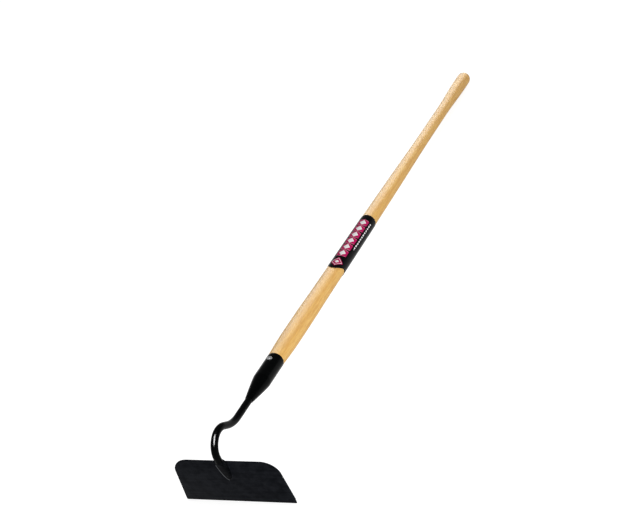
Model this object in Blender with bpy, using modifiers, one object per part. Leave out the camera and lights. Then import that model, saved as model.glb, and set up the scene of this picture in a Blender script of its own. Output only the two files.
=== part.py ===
# Meadow hoe: a plate blade welded under a goose neck rod, whose tang is riveted into a long ash handle.
# It lies on its cutting edge and the tip of its handle, as a hoe does on a bench.
#
# Everything is modelled in one frame along the handle and hung on a single empty:
# the ferrule's rim is at the origin, +Y runs up the handle, +Z is the rivet's side, X is across the blade.
import math

import bmesh
import bpy
from mathutils import Vector

# Clearance between pieces that touch
GAP = 0.0003

# Blade, measured down its outer face from the top edge
BLADE_WIDTH = 0.202
BLADE_TOP_WIDTH = 0.186
BLADE_HEIGHT = 0.102
BLADE_THICKNESS = 0.0025
SHOULDER_RADIUS = 0.030
CORNER_RADIUS = 0.002
BEVEL_HEIGHT = 0.009
EDGE_LAND = 0.0006
BLADE_ANGLE = math.radians(74.5)

# Goose neck rod, from the ferrule to the blade
ROD_DIAMETER = 0.0127
NECK_STRAIGHT = 0.049
RISE_RADIUS = 0.085
RISE_ANGLE = math.radians(28)
RISE_RUN = 0.0155
CREST_RADIUS = 0.0405
FRONT_RADIUS = 0.0275
RETURN_RADIUS = 0.028
NECK_DROP = 0.0185

# Foot: the end of the rod, hammered to a leaf that lies on the blade. It starts to spread and to thin
# FOOT_SPREAD above the blade's top edge. FOOT_ROUND_BELOW and FOOT_FLAT_BELOW are the share of its thickness
# under its widest level, where it is round and where it lies flat; FOOT_SQUARENESS is the power of its
# section where it lies flat, 2 for an ellipse and more for a flatter top.
FOOT_WIDTH = 0.018
FOOT_SPREAD = 0.010
FOOT_LENGTH = 0.0435
FOOT_LEAF = 3.0
FOOT_THINNING = 1.1
FOOT_TIP_THICKNESS = 0.003
FOOT_ROUND_BELOW = 0.5
FOOT_FLAT_BELOW = 0.32
FOOT_SQUARENESS = 3.4

# Weld bead round the foot; its rise is a share of the foot's thickness there
WELD_LEG = 0.0031
WELD_RISE = 0.5
WELD_TALLEST = 0.0026

# Tang: the tapered end of the rod inside the handle
TANG_ROOT_DIAMETER = 0.0115
TANG_TIP_DIAMETER = 0.0085
TANG_PAST_RIM = 0.012
TANG_POINT = 0.004
TANG_SHOULDER = 0.004
BORE_SPARE = 0.003

# Ferrule, measured from its rim down towards the blade
FERRULE_DIAMETER = 0.03175
FERRULE_WALL = 0.0015
FERRULE_STRAIGHT = 0.066
FERRULE_TAPER = 0.060
FERRULE_END_WALL = 0.0004
TAPER_POWER = 1.12

# Rivet through ferrule, handle and tang
RIVET_BELOW_RIM = 0.0185
RIVET_DIAMETER = 0.005
RIVET_HEAD_DIAMETER = 0.0096
RIVET_HEAD_HEIGHT = 0.0024
RIVET_TAIL_DIAMETER = 0.0084
RIVET_TAIL_HEIGHT = 0.0016

# Handle: 54 inches long, with its tenon inside the ferrule
HANDLE_LENGTH = 1.372
TENON_DEPTH = 0.095
RIM_DIAMETER = 0.0308
RIM_SLOPE = 0.043
SWELL_DIAMETER = 0.0352
SWELL_START = 0.082
SWELL_END = 0.155
BODY_DIAMETER = 0.0338
BODY_AT = 0.225
MIDDLE_DIAMETER = 0.0319
MIDDLE_AT = 0.490
UPPER_DIAMETER = 0.0287
UPPER_AT = 0.730
SLIM_DIAMETER = 0.0252
SLIM_FROM_END = 0.340
SLIM_TO_END = 0.200
GRIP_DIAMETER = 0.0304
GRIP_TO_END = 0.050

# Label: a card sleeve wrapped round the handle, with a rounded tab at its lower edge
LABEL_FROM_RIM = 0.326
LABEL_LENGTH = 0.198
LABEL_THICKNESS = 0.0004
LABEL_TURN = math.radians(13)
LABEL_LAP = math.radians(38)
LAP_RAMP = math.radians(9)
LAP_LIFT = 0.00055
TAB_DEPTH = 0.021
TAB_HALF_WIDTH = 0.025

# Fineness of the round forms
TURNED_STEPS = 48
ROD_SIDES = 24
ARC_STEP = math.radians(7)
HANDLE_STEP = 0.030
DOME_STEPS = 6
TENON_STEPS = 5
TAPER_STEPS = 10
RIVET_STEPS = 5
FOOT_STEPS_ABOVE = 5
FOOT_STEPS_BELOW = 11
WELD_SECTIONS = 18
LAST_SECTION = math.radians(84)
LABEL_COLUMNS = 60
LABEL_ROWS = 6

# Sizes that follow from the ones above
ROD_RADIUS = ROD_DIAMETER / 2
FERRULE_RADIUS = FERRULE_DIAMETER / 2
FERRULE_LENGTH = FERRULE_STRAIGHT + FERRULE_TAPER
EXPOSED_LENGTH = HANDLE_LENGTH - TENON_DEPTH
DOME_RADIUS = GRIP_DIAMETER / 2
HOLE_RADIUS = RIVET_DIAMETER / 2 + GAP


# Helpers

def clear_scene():
    for existing in list(bpy.data.objects):
        bpy.data.objects.remove(existing, do_unlink=True)


def new_collection(name):
    collection = bpy.data.collections.new(name)
    bpy.context.scene.collection.children.link(collection)
    return collection


def material(name, colour, roughness, metallic):
    finish = bpy.data.materials.new(name)
    finish.use_nodes = True
    shader = finish.node_tree.nodes["Principled BSDF"]
    shader.inputs["Base Color"].default_value = (*colour, 1.0)
    shader.inputs["Roughness"].default_value = roughness
    shader.inputs["Metallic"].default_value = metallic
    return finish


def add_object(name, data, collection, parent, finish=None):
    piece = bpy.data.objects.new(name, data)
    collection.objects.link(piece)
    piece.parent = parent
    if finish is not None:
        data.materials.append(finish)
    return piece


def cut(piece, cutter):
    modifier = piece.modifiers.new("cut_" + cutter.name, "BOOLEAN")
    modifier.operation = "DIFFERENCE"
    modifier.object = cutter
    cutter.hide_render = True
    cutter.display_type = "WIRE"


def shade_round(mesh, sharp_degrees=35):
    mesh.shade_smooth()
    mesh.set_sharp_from_angle(angle=math.radians(sharp_degrees))


def loft(name, rings):
    """Skins rings of equal point counts into one closed mesh."""
    mesh = bpy.data.meshes.new(name)
    shape = bmesh.new()
    loops = [[shape.verts.new(point) for point in ring] for ring in rings]
    for lower, upper in zip(loops, loops[1:]):
        for side in range(len(lower)):
            after = (side + 1) % len(lower)
            shape.faces.new((lower[side], lower[after], upper[after], upper[side]))
    shape.faces.new(loops[0])
    shape.faces.new(loops[-1])
    bmesh.ops.recalc_face_normals(shape, faces=shape.faces)
    shape.to_mesh(mesh)
    shape.free()
    shade_round(mesh)
    return mesh


def turned(name, profile, collection, parent, finish=None):
    """Spins a profile of (radius, height) points about the local Z axis."""
    mesh = bpy.data.meshes.new(name)
    shape = bmesh.new()
    points = [shape.verts.new((radius, 0.0, height)) for radius, height in profile]
    for first, second in zip(points, points[1:]):
        shape.edges.new((first, second))
    if profile[0][0] > 0.0:
        shape.edges.new((points[-1], points[0]))
    shape.to_mesh(mesh)
    shape.free()
    piece = add_object(name, mesh, collection, parent, finish)
    screw = piece.modifiers.new("turn", "SCREW")
    screw.steps = TURNED_STEPS
    screw.render_steps = TURNED_STEPS
    screw.use_merge_vertices = True
    screw.merge_threshold = 0.00001
    screw.use_smooth_shade = True
    return piece


def smooth_step(value):
    value = min(max(value, 0.0), 1.0)
    return value * value * (3 - 2 * value)


# Profiles shared by the pieces that fit one another, as radii at a distance up the handle from the rim

def ferrule_outside(height):
    along_taper = min(max((-height - FERRULE_STRAIGHT) / FERRULE_TAPER, 0.0), 1.0)
    end_radius = ROD_RADIUS + GAP + FERRULE_END_WALL
    return FERRULE_RADIUS - (FERRULE_RADIUS - end_radius) * along_taper ** TAPER_POWER


def ferrule_inside(height):
    along_taper = min(max((-height - FERRULE_STRAIGHT) / FERRULE_TAPER, 0.0), 1.0)
    wall = FERRULE_WALL + (FERRULE_END_WALL - FERRULE_WALL) * along_taper
    return ferrule_outside(height) - wall


def tang_radius(height):
    along = (height + TENON_DEPTH) / (TENON_DEPTH + TANG_PAST_RIM)
    return (TANG_ROOT_DIAMETER + (TANG_TIP_DIAMETER - TANG_ROOT_DIAMETER) * along) / 2


def handle_stations():
    return [
        (0.0, RIM_DIAMETER / 2),
        (SWELL_START, SWELL_DIAMETER / 2),
        (SWELL_END, SWELL_DIAMETER / 2),
        (BODY_AT, BODY_DIAMETER / 2),
        (MIDDLE_AT, MIDDLE_DIAMETER / 2),
        (UPPER_AT, UPPER_DIAMETER / 2),
        (EXPOSED_LENGTH - SLIM_FROM_END, SLIM_DIAMETER / 2),
        (EXPOSED_LENGTH - SLIM_TO_END, SLIM_DIAMETER / 2),
        (EXPOSED_LENGTH - GRIP_TO_END, GRIP_DIAMETER / 2),
        (EXPOSED_LENGTH - DOME_RADIUS, GRIP_DIAMETER / 2),
    ]


def handle_radius(height):
    """Runs a smooth curve through the turned sizes of the handle, level where two neighbours peak."""
    stations = handle_stations()
    index = 0
    while index < len(stations) - 2 and height > stations[index + 1][0]:
        index += 1
    (start, low), (end, high) = stations[index], stations[index + 1]

    def slope(at):
        if at == 0 or at == len(stations) - 1:
            return 0.0 if at else RIM_SLOPE
        before = (stations[at][1] - stations[at - 1][1]) / (stations[at][0] - stations[at - 1][0])
        after = (stations[at + 1][1] - stations[at][1]) / (stations[at + 1][0] - stations[at][0])
        return 0.0 if before * after <= 0.0 else 2 * before * after / (before + after)

    span = end - start
    t = min(max((height - start) / span, 0.0), 1.0)
    return (
        (2 * t ** 3 - 3 * t ** 2 + 1) * low
        + (t ** 3 - 2 * t ** 2 + t) * span * slope(index)
        + (3 * t ** 2 - 2 * t ** 3) * high
        + (t ** 3 - t ** 2) * span * slope(index + 1)
    )


# Neck: the centreline of the rod, as (y, z, heading) in the plane of symmetry

def bend(place, radius, angle):
    """Follows an arc from a place; a positive angle turns the rod down towards the blade."""
    y, z, heading = place
    count = max(1, math.ceil(abs(angle) / ARC_STEP))
    turn = angle / count
    chord = 2 * radius * math.sin(abs(turn) / 2)
    places = []
    for _ in range(count):
        y += chord * math.cos(heading + turn / 2)
        z += chord * math.sin(heading + turn / 2)
        heading += turn
        places.append((y, z, heading))
    return places


def straight(place, length):
    y, z, heading = place
    return (y + length * math.cos(heading), z + length * math.sin(heading), heading)


def neck_line():
    """From the small end of the ferrule to the level of the blade's top edge."""
    line = [straight((0.0, 0.0, math.pi), FERRULE_LENGTH)]
    line.append(straight(line[-1], NECK_STRAIGHT))
    line += bend(line[-1], RISE_RADIUS, -RISE_ANGLE)
    line.append(straight(line[-1], RISE_RUN))
    line += bend(line[-1], CREST_RADIUS, RISE_ANGLE)
    line += bend(line[-1], FRONT_RADIUS, math.pi / 2)
    line += bend(line[-1], RETURN_RADIUS, math.pi / 2 - BLADE_ANGLE)
    line.append(straight(line[-1], NECK_DROP))
    return line


def section(place, half_width, half_height, lift=0.0, floor=-math.inf, squareness=2.0):
    """One cross-section of the rod: an ellipse or a squarer round, cut flat where it lies on the blade."""
    y, z, heading = place
    out_y, out_z = math.sin(heading), -math.cos(heading)
    ring = []
    for side in range(ROD_SIDES):
        angle = 2 * math.pi * side / ROD_SIDES
        across, up = (
            math.copysign(abs(reach) ** (2 / squareness), reach)
            for reach in (math.cos(angle), math.sin(angle))
        )
        height = max(lift + half_height * up, floor)
        ring.append((half_width * across, y + out_y * height, z + out_z * height))
    return ring


def foot_half_width(down):
    """Half the foot's width at a distance below the blade's top edge, as a leaf with a round tip."""
    if down > 0.0:
        return FOOT_WIDTH / 2 * math.sqrt(max(1.0 - (down / FOOT_LENGTH) ** FOOT_LEAF, 0.0))
    return ROD_RADIUS + (FOOT_WIDTH / 2 - ROD_RADIUS) * max(down / FOOT_SPREAD + 1, 0.0) ** 2


def foot_thickness(down):
    """Thins from the rod's diameter, where the foot starts to spread, to the tip."""
    left = min(max((FOOT_LENGTH - down) / (FOOT_LENGTH + FOOT_SPREAD), 0.0), 1.0)
    return FOOT_TIP_THICKNESS + (ROD_DIAMETER - FOOT_TIP_THICKNESS) * left ** FOOT_THINNING


def foot_section(place, down, grow=0.0):
    """A flattened section whose underside is one gap above the blade; grow swells it for a cutter."""
    thickness = foot_thickness(down)
    flattening = smooth_step(down / FOOT_SPREAD + 1)
    below = FOOT_ROUND_BELOW + (FOOT_FLAT_BELOW - FOOT_ROUND_BELOW) * flattening
    lift = -ROD_RADIUS + thickness * below
    half_height = thickness * (1.0 - below) + grow
    squareness = 2 + (FOOT_SQUARENESS - 2) * flattening
    return section(place, foot_half_width(down) + grow, half_height, lift, -ROD_RADIUS - grow, squareness)


def foot_downs():
    """Where the foot's sections lie: even down to the blade's top edge, then closer towards the tip."""
    above = [-FOOT_SPREAD * (1 - step / FOOT_STEPS_ABOVE) for step in range(FOOT_STEPS_ABOVE + 1)]
    turns = [LAST_SECTION * step / FOOT_STEPS_BELOW for step in range(1, FOOT_STEPS_BELOW + 1)]
    return above + [FOOT_LENGTH * math.sin(turn) for turn in turns]


# Sub-parts

def make_blade(collection, cutters, parent, finish, top_place):
    """Plate with rounded shoulders; its outer face is at local Z = 0 and its top edge at local Y = 0."""
    top = BLADE_TOP_WIDTH / 2
    bottom = BLADE_WIDTH / 2
    corners = [
        (-top, 0.0, SHOULDER_RADIUS),
        (-bottom, -BLADE_HEIGHT, CORNER_RADIUS),
        (bottom, -BLADE_HEIGHT, CORNER_RADIUS),
        (top, 0.0, SHOULDER_RADIUS),
    ]
    outline = []
    for index, (x, y, radius) in enumerate(corners):
        corner = Vector((x, y))
        before = (Vector(corners[index - 1][:2]) - corner).normalized()
        after = (Vector(corners[(index + 1) % 4][:2]) - corner).normalized()
        half_angle = before.angle(after) / 2
        centre = corner + (before + after).normalized() * radius / math.sin(half_angle)
        start = corner + before * radius / math.tan(half_angle) - centre
        sweep = math.pi - 2 * half_angle
        steps = max(4, math.ceil(sweep / ARC_STEP))
        for step in range(steps + 1):
            turn = sweep * step / steps
            outline.append((
                centre.x + start.x * math.cos(turn) - start.y * math.sin(turn),
                centre.y + start.x * math.sin(turn) + start.y * math.cos(turn),
            ))

    curve = bpy.data.curves.new("blade_outline", "CURVE")
    curve.dimensions = "2D"
    curve.fill_mode = "BOTH"
    curve.extrude = BLADE_THICKNESS / 2
    spline = curve.splines.new("POLY")
    spline.points.add(len(outline) - 1)
    for point, (x, y) in zip(spline.points, outline):
        point.co = (x, y, 0.0, 1.0)
    spline.use_cyclic_u = True
    sketch = add_object("blade_outline", curve, cutters, None)
    bpy.context.view_layer.update()
    solid = bpy.data.meshes.new_from_object(sketch.evaluated_get(bpy.context.evaluated_depsgraph_get()))
    bpy.data.objects.remove(sketch, do_unlink=True)
    shape = bmesh.new()
    shape.from_mesh(solid)
    bmesh.ops.remove_doubles(shape, verts=shape.verts, dist=0.00001)
    bmesh.ops.translate(shape, verts=shape.verts, vec=(0.0, 0.0, -BLADE_THICKNESS / 2))
    bmesh.ops.recalc_face_normals(shape, faces=shape.faces)
    shape.to_mesh(solid)
    shape.free()

    y, z, heading = top_place
    seat = ROD_RADIUS + GAP
    blade = add_object("blade", solid, collection, parent, finish)
    blade.location = (0.0, y - math.sin(heading) * seat, z + math.cos(heading) * seat)
    blade.rotation_euler = (heading - math.pi, 0.0, 0.0)
    grind = make_grinding(cutters, blade)
    cut(blade, grind)
    return blade


def make_grinding(cutters, blade):
    """Wedge that grinds the inner side of the plate down to the cutting edge."""
    mesh = bpy.data.meshes.new("grinding")
    shape = bmesh.new()
    bmesh.ops.create_cube(shape, size=1.0)
    length = 1.1 * BLADE_WIDTH
    reach = 3 * BEVEL_HEIGHT
    depth = 4 * BLADE_THICKNESS
    bmesh.ops.scale(shape, verts=shape.verts, vec=(length, 2 * reach, depth))
    bmesh.ops.translate(shape, verts=shape.verts, vec=(0.0, 0.0, -depth / 2))
    shape.to_mesh(mesh)
    shape.free()
    grinding = add_object("grinding", mesh, cutters, blade)
    slope = math.atan2(BLADE_THICKNESS - EDGE_LAND, BEVEL_HEIGHT)
    grinding.location = (0.0, -BLADE_HEIGHT, -EDGE_LAND)
    grinding.rotation_euler = (-slope, 0.0, 0.0)
    return grinding


def make_neck(collection, cutters, parent, finish, line, rivet_hole):
    """Tang, rod, goose neck and flattened foot in one forging."""
    tang_tip = (TANG_PAST_RIM, 0.0, math.pi)
    rings = [section(tang_tip, tang_radius(TANG_PAST_RIM) / 2, tang_radius(TANG_PAST_RIM) / 2)]
    tang_start = TANG_PAST_RIM - TANG_POINT
    tang_end = -TENON_DEPTH
    for height in (tang_start, -RIVET_BELOW_RIM, tang_end):
        radius = tang_radius(height)
        rings.append(section((height, 0.0, math.pi), radius, radius))
    rings.append(section((tang_end - TANG_SHOULDER, 0.0, math.pi), ROD_RADIUS, ROD_RADIUS))
    rings += [section(place, ROD_RADIUS, ROD_RADIUS) for place in line[:-1]]
    rings += [foot_section(straight(line[-1], down), down) for down in foot_downs()]
    neck = add_object("neck", loft("neck", rings), collection, parent, finish)
    cut(neck, rivet_hole)
    return neck


def make_weld_bead(collection, cutters, parent, finish, top_place):
    """Fillet of weld round the foot, cut to the foot's own shape with one gap between."""
    end = FOOT_LENGTH + WELD_LEG
    rings = []
    for step in range(WELD_SECTIONS):
        down = GAP + (end - GAP) * math.sin(LAST_SECTION * step / (WELD_SECTIONS - 1))
        half = (FOOT_WIDTH / 2 + WELD_LEG) * math.sqrt(1.0 - (down / end) ** FOOT_LEAF)
        height = min(WELD_RISE * foot_thickness(down), WELD_TALLEST)
        rings.append(section(straight(top_place, down), half, height, -ROD_RADIUS, -ROD_RADIUS))
    bead = add_object("weld_bead", loft("weld_bead", rings), collection, parent, finish)

    downs = foot_downs()
    pocket_rings = [foot_section(straight(top_place, down), down, GAP) for down in downs]
    pocket_rings.append(foot_section(straight(top_place, downs[-1] + GAP), downs[-1], GAP))
    pocket = add_object("foot_pocket", loft("foot_pocket", pocket_rings), cutters, parent)
    cut(bead, pocket)
    return bead


def make_ferrule(collection, parent, finish, rivet_hole):
    """Steel cap with a straight socket and a drawn taper that closes on the rod."""
    heights = [0.0]
    heights += [-FERRULE_STRAIGHT - FERRULE_TAPER * step / TAPER_STEPS for step in range(TAPER_STEPS + 1)]
    outer = [(ferrule_outside(height), height) for height in heights]
    inner = [(ferrule_inside(height), height) for height in reversed(heights)]
    ferrule = turned("ferrule", outer + inner, collection, parent, finish)
    ferrule.rotation_euler = (-math.pi / 2, 0.0, 0.0)
    cut(ferrule, rivet_hole)
    return ferrule


def make_handle(collection, parent, finish, rivet_hole):
    """Turned ash handle: domed end, grip, slim waist, swell, tenon and the bore for the tang."""
    dome_centre = EXPOSED_LENGTH - DOME_RADIUS
    profile = [(0.0, EXPOSED_LENGTH)]
    for step in range(1, DOME_STEPS + 1):
        angle = math.pi / 2 * step / DOME_STEPS
        profile.append((DOME_RADIUS * math.sin(angle), dome_centre + DOME_RADIUS * math.cos(angle)))
    count = math.ceil(dome_centre / HANDLE_STEP)
    for step in range(1, count):
        height = dome_centre * (1 - step / count)
        profile.append((handle_radius(height), height))
    profile.append((handle_radius(GAP), GAP))
    straight_end = min(FERRULE_STRAIGHT, TENON_DEPTH)
    profile.append((ferrule_inside(0.0) - GAP, GAP))
    profile.append((ferrule_inside(-straight_end) - GAP, -straight_end))
    for step in range(1, TENON_STEPS + 1):
        height = -straight_end - (TENON_DEPTH - straight_end) * step / TENON_STEPS
        if height < -straight_end:
            profile.append((ferrule_inside(height) - GAP, height))
    profile.append((tang_radius(-TENON_DEPTH) + GAP, -TENON_DEPTH))
    profile.append((tang_radius(TANG_PAST_RIM) + GAP, TANG_PAST_RIM))
    profile.append((0.0, TANG_PAST_RIM + BORE_SPARE))
    handle = turned("handle", profile, collection, parent, finish)
    handle.rotation_euler = (-math.pi / 2, 0.0, 0.0)
    cut(handle, rivet_hole)
    return handle


def make_rivet_hole(cutters, parent):
    mesh = bpy.data.meshes.new("rivet_hole")
    shape = bmesh.new()
    bmesh.ops.create_cone(
        shape, cap_ends=True, segments=24,
        radius1=HOLE_RADIUS, radius2=HOLE_RADIUS, depth=2 * FERRULE_DIAMETER,
    )
    shape.to_mesh(mesh)
    shape.free()
    hole = add_object("rivet_hole", mesh, cutters, parent)
    hole.location = (0.0, -RIVET_BELOW_RIM, 0.0)
    return hole


def make_rivet(collection, parent, finish):
    """Solid rivet: a domed head on the upper side and a flatter set head below."""
    seat = FERRULE_RADIUS + GAP
    shank = RIVET_DIAMETER / 2
    profile = []
    for step in range(RIVET_STEPS + 1):
        angle = math.pi / 2 * step / RIVET_STEPS
        radius = RIVET_HEAD_DIAMETER / 2 * math.sin(angle)
        profile.append((radius, seat + RIVET_HEAD_HEIGHT * math.cos(angle)))
    profile.append((shank, seat))
    profile.append((shank, -seat))
    for step in range(RIVET_STEPS + 1):
        angle = math.pi / 2 * (1 - step / RIVET_STEPS)
        radius = RIVET_TAIL_DIAMETER / 2 * math.sin(angle)
        profile.append((radius, -seat - RIVET_TAIL_HEIGHT * math.cos(angle)))
    rivet = turned("rivet", profile, collection, parent, finish)
    rivet.location = (0.0, -RIVET_BELOW_RIM, 0.0)
    return rivet


def label_lower_edge(angle):
    """Distance from the rim to the label's lower edge, which drops into a rounded tab at the front."""
    offset = (angle - LABEL_TURN + math.pi) % (2 * math.pi) - math.pi
    arc = abs(offset) * handle_radius(LABEL_FROM_RIM)
    if arc >= TAB_HALF_WIDTH:
        return LABEL_FROM_RIM
    return LABEL_FROM_RIM - TAB_DEPTH * (1 + math.cos(math.pi * arc / TAB_HALF_WIDTH)) / 2


def make_label(collection, parent, finish):
    """Card sleeve wrapped once round the handle, its end lapped over its start at the back."""
    mesh = bpy.data.meshes.new("label_sleeve")
    shape = bmesh.new()
    first = LABEL_TURN + math.pi - LABEL_LAP / 2
    total = 2 * math.pi + LABEL_LAP
    top = LABEL_FROM_RIM + LABEL_LENGTH
    columns = []
    for column in range(LABEL_COLUMNS + 1):
        around = total * column / LABEL_COLUMNS
        angle = first + around
        lift = LAP_LIFT * smooth_step((around - (2 * math.pi - LAP_RAMP)) / LAP_RAMP)
        bottom = label_lower_edge(angle)
        points = []
        for row in range(LABEL_ROWS + 1):
            height = bottom + (top - bottom) * row / LABEL_ROWS
            radius = handle_radius(height) + GAP + lift
            points.append(shape.verts.new((radius * math.sin(angle), height, radius * math.cos(angle))))
        columns.append(points)
    for left, right in zip(columns, columns[1:]):
        for row in range(LABEL_ROWS):
            shape.faces.new((left[row], right[row], right[row + 1], left[row + 1]))
    shape.to_mesh(mesh)
    shape.free()
    label = add_object("label_sleeve", mesh, collection, parent, finish)
    wall = label.modifiers.new("card", "SOLIDIFY")
    wall.thickness = LABEL_THICKNESS
    wall.offset = 1.0
    mesh.shade_smooth()
    return label


def lay_down(hoe, line):
    """Turns and places the whole hoe so its cutting edge and its handle's end touch the ground."""
    y, z, heading = straight(line[-1], BLADE_HEIGHT)
    seat = ROD_RADIUS + GAP
    edge_y = y - math.sin(heading) * seat
    edge_z = z + math.cos(heading) * seat
    run = EXPOSED_LENGTH - DOME_RADIUS - edge_y
    tilt = math.atan2(-edge_z, run) - math.asin(DOME_RADIUS / math.hypot(run, edge_z))
    hoe.rotation_euler = (-tilt, 0.0, 0.0)

    front = min(y * math.cos(tilt) + z * math.sin(tilt) for y, z, heading in line) - ROD_RADIUS
    back = (EXPOSED_LENGTH - DOME_RADIUS) * math.cos(tilt) + DOME_RADIUS
    lowest = -edge_y * math.sin(tilt) + edge_z * math.cos(tilt)
    hoe.location = (0.0, -(front + back) / 2, -lowest)


def build():
    clear_scene()
    parts = new_collection("meadow_hoe")
    cutters = new_collection("cutters")
    black_paint = material("black_paint", (0.012, 0.013, 0.014), 0.35, 0.0)
    blade_paint = material("blade_paint", (0.014, 0.015, 0.017), 0.5, 0.0)
    bright_steel = material("bright_steel", (0.62, 0.63, 0.64), 0.3, 1.0)
    ash = material("ash_wood", (0.72, 0.48, 0.22), 0.4, 0.0)
    card = material("printed_card", (0.010, 0.009, 0.011), 0.35, 0.0)

    hoe = bpy.data.objects.new("hoe_frame", None)
    parts.objects.link(hoe)
    line = neck_line()
    lay_down(hoe, line)
    rivet_hole = make_rivet_hole(cutters, hoe)
    make_blade(parts, cutters, hoe, blade_paint, line[-1])
    make_neck(parts, cutters, hoe, black_paint, line, rivet_hole)
    make_weld_bead(parts, cutters, hoe, blade_paint, line[-1])
    make_ferrule(parts, hoe, black_paint, rivet_hole)
    make_handle(parts, hoe, ash, rivet_hole)
    make_rivet(parts, hoe, bright_steel)
    make_label(parts, hoe, card)


build()
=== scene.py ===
import math

import bmesh
import bpy
from mathutils import Matrix, Vector


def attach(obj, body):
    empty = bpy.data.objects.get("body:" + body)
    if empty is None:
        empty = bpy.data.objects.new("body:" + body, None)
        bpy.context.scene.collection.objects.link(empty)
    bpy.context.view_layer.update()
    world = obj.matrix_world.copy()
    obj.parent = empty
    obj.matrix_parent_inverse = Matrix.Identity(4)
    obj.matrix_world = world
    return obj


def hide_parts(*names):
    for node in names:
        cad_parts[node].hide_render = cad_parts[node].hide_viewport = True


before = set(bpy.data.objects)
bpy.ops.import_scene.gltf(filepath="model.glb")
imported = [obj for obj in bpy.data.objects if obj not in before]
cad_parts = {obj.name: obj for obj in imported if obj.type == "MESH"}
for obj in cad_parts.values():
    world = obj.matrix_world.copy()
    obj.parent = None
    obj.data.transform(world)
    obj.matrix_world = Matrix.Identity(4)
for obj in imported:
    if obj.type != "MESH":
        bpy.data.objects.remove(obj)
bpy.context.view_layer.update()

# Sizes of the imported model, in metres

# Clearance between pieces that touch
GAP = 0.0003

# Blade, measured down its outer face from the top edge
BLADE_WIDTH = 0.202
BLADE_TOP_WIDTH = 0.186
BLADE_HEIGHT = 0.102
BLADE_THICKNESS = 0.0025
SHOULDER_RADIUS = 0.030
CORNER_RADIUS = 0.002
BEVEL_HEIGHT = 0.009
EDGE_LAND = 0.0006
BLADE_ANGLE = math.radians(74.5)

# Goose neck rod, from the ferrule to the blade
ROD_DIAMETER = 0.0127
NECK_STRAIGHT = 0.049
RISE_RADIUS = 0.085
RISE_ANGLE = math.radians(28)
RISE_RUN = 0.0155
CREST_RADIUS = 0.0405
FRONT_RADIUS = 0.0275
RETURN_RADIUS = 0.028
NECK_DROP = 0.0185

# Foot: the end of the rod, hammered to a leaf that lies on the blade. It starts to spread and to thin
# FOOT_SPREAD above the blade's top edge. FOOT_LEAF and FOOT_THINNING are the powers of its outline and of
# its thinning. FOOT_ROUND_BELOW and FOOT_FLAT_BELOW are the share of its thickness under its widest level,
# where it is round and where it lies flat; FOOT_SQUARENESS is the power of its section where it lies flat,
# 2 for an ellipse and more for a flatter top.
FOOT_WIDTH = 0.018
FOOT_SPREAD = 0.010
FOOT_LENGTH = 0.0435
FOOT_LEAF = 3.0
FOOT_THINNING = 1.1
FOOT_TIP_THICKNESS = 0.003
FOOT_ROUND_BELOW = 0.5
FOOT_FLAT_BELOW = 0.32
FOOT_SQUARENESS = 3.4

# Weld bead round the foot; its rise is a share of the foot's thickness there
WELD_LEG = 0.0031
WELD_RISE = 0.5
WELD_TALLEST = 0.0026

# Tang: the tapered end of the rod inside the handle
TANG_ROOT_DIAMETER = 0.0115
TANG_TIP_DIAMETER = 0.0085
TANG_PAST_RIM = 0.012
TANG_POINT = 0.004
TANG_SHOULDER = 0.004
BORE_SPARE = 0.003

# Ferrule, measured from its rim down towards the blade; TAPER_POWER bulges its taper a little
FERRULE_DIAMETER = 0.03175
FERRULE_WALL = 0.0015
FERRULE_STRAIGHT = 0.066
FERRULE_TAPER = 0.060
FERRULE_END_WALL = 0.0004
TAPER_POWER = 1.12

# Rivet through ferrule, handle and tang
RIVET_BELOW_RIM = 0.0185
RIVET_DIAMETER = 0.005
RIVET_HEAD_DIAMETER = 0.0096
RIVET_HEAD_HEIGHT = 0.0024
RIVET_TAIL_DIAMETER = 0.0084
RIVET_TAIL_HEIGHT = 0.0016

# Handle: 54 inches long, with its tenon inside the ferrule
HANDLE_LENGTH = 1.372
TENON_DEPTH = 0.095
RIM_DIAMETER = 0.0308
RIM_SLOPE = 0.043
SWELL_DIAMETER = 0.0352
SWELL_START = 0.082
SWELL_END = 0.155
BODY_DIAMETER = 0.0338
BODY_AT = 0.225
MIDDLE_DIAMETER = 0.0319
MIDDLE_AT = 0.490
UPPER_DIAMETER = 0.0287
UPPER_AT = 0.730
SLIM_DIAMETER = 0.0252
SLIM_FROM_END = 0.340
SLIM_TO_END = 0.200
GRIP_DIAMETER = 0.0304
GRIP_TO_END = 0.050

# Label: a card sleeve wrapped round the handle, with a rounded tab at its lower edge
LABEL_FROM_RIM = 0.326
LABEL_LENGTH = 0.198
LABEL_THICKNESS = 0.0004
LABEL_TURN = math.radians(13)
LABEL_LAP = math.radians(38)
LAP_RAMP = math.radians(9)
LAP_LIFT = 0.00055
TAB_DEPTH = 0.021
TAB_HALF_WIDTH = 0.025

# Sizes that follow from the ones above
ROD_RADIUS = ROD_DIAMETER / 2
FERRULE_RADIUS = FERRULE_DIAMETER / 2
EXPOSED_LENGTH = HANDLE_LENGTH - TENON_DEPTH
DOME_RADIUS = GRIP_DIAMETER / 2
HOLE_RADIUS = RIVET_DIAMETER / 2 + GAP

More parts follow.
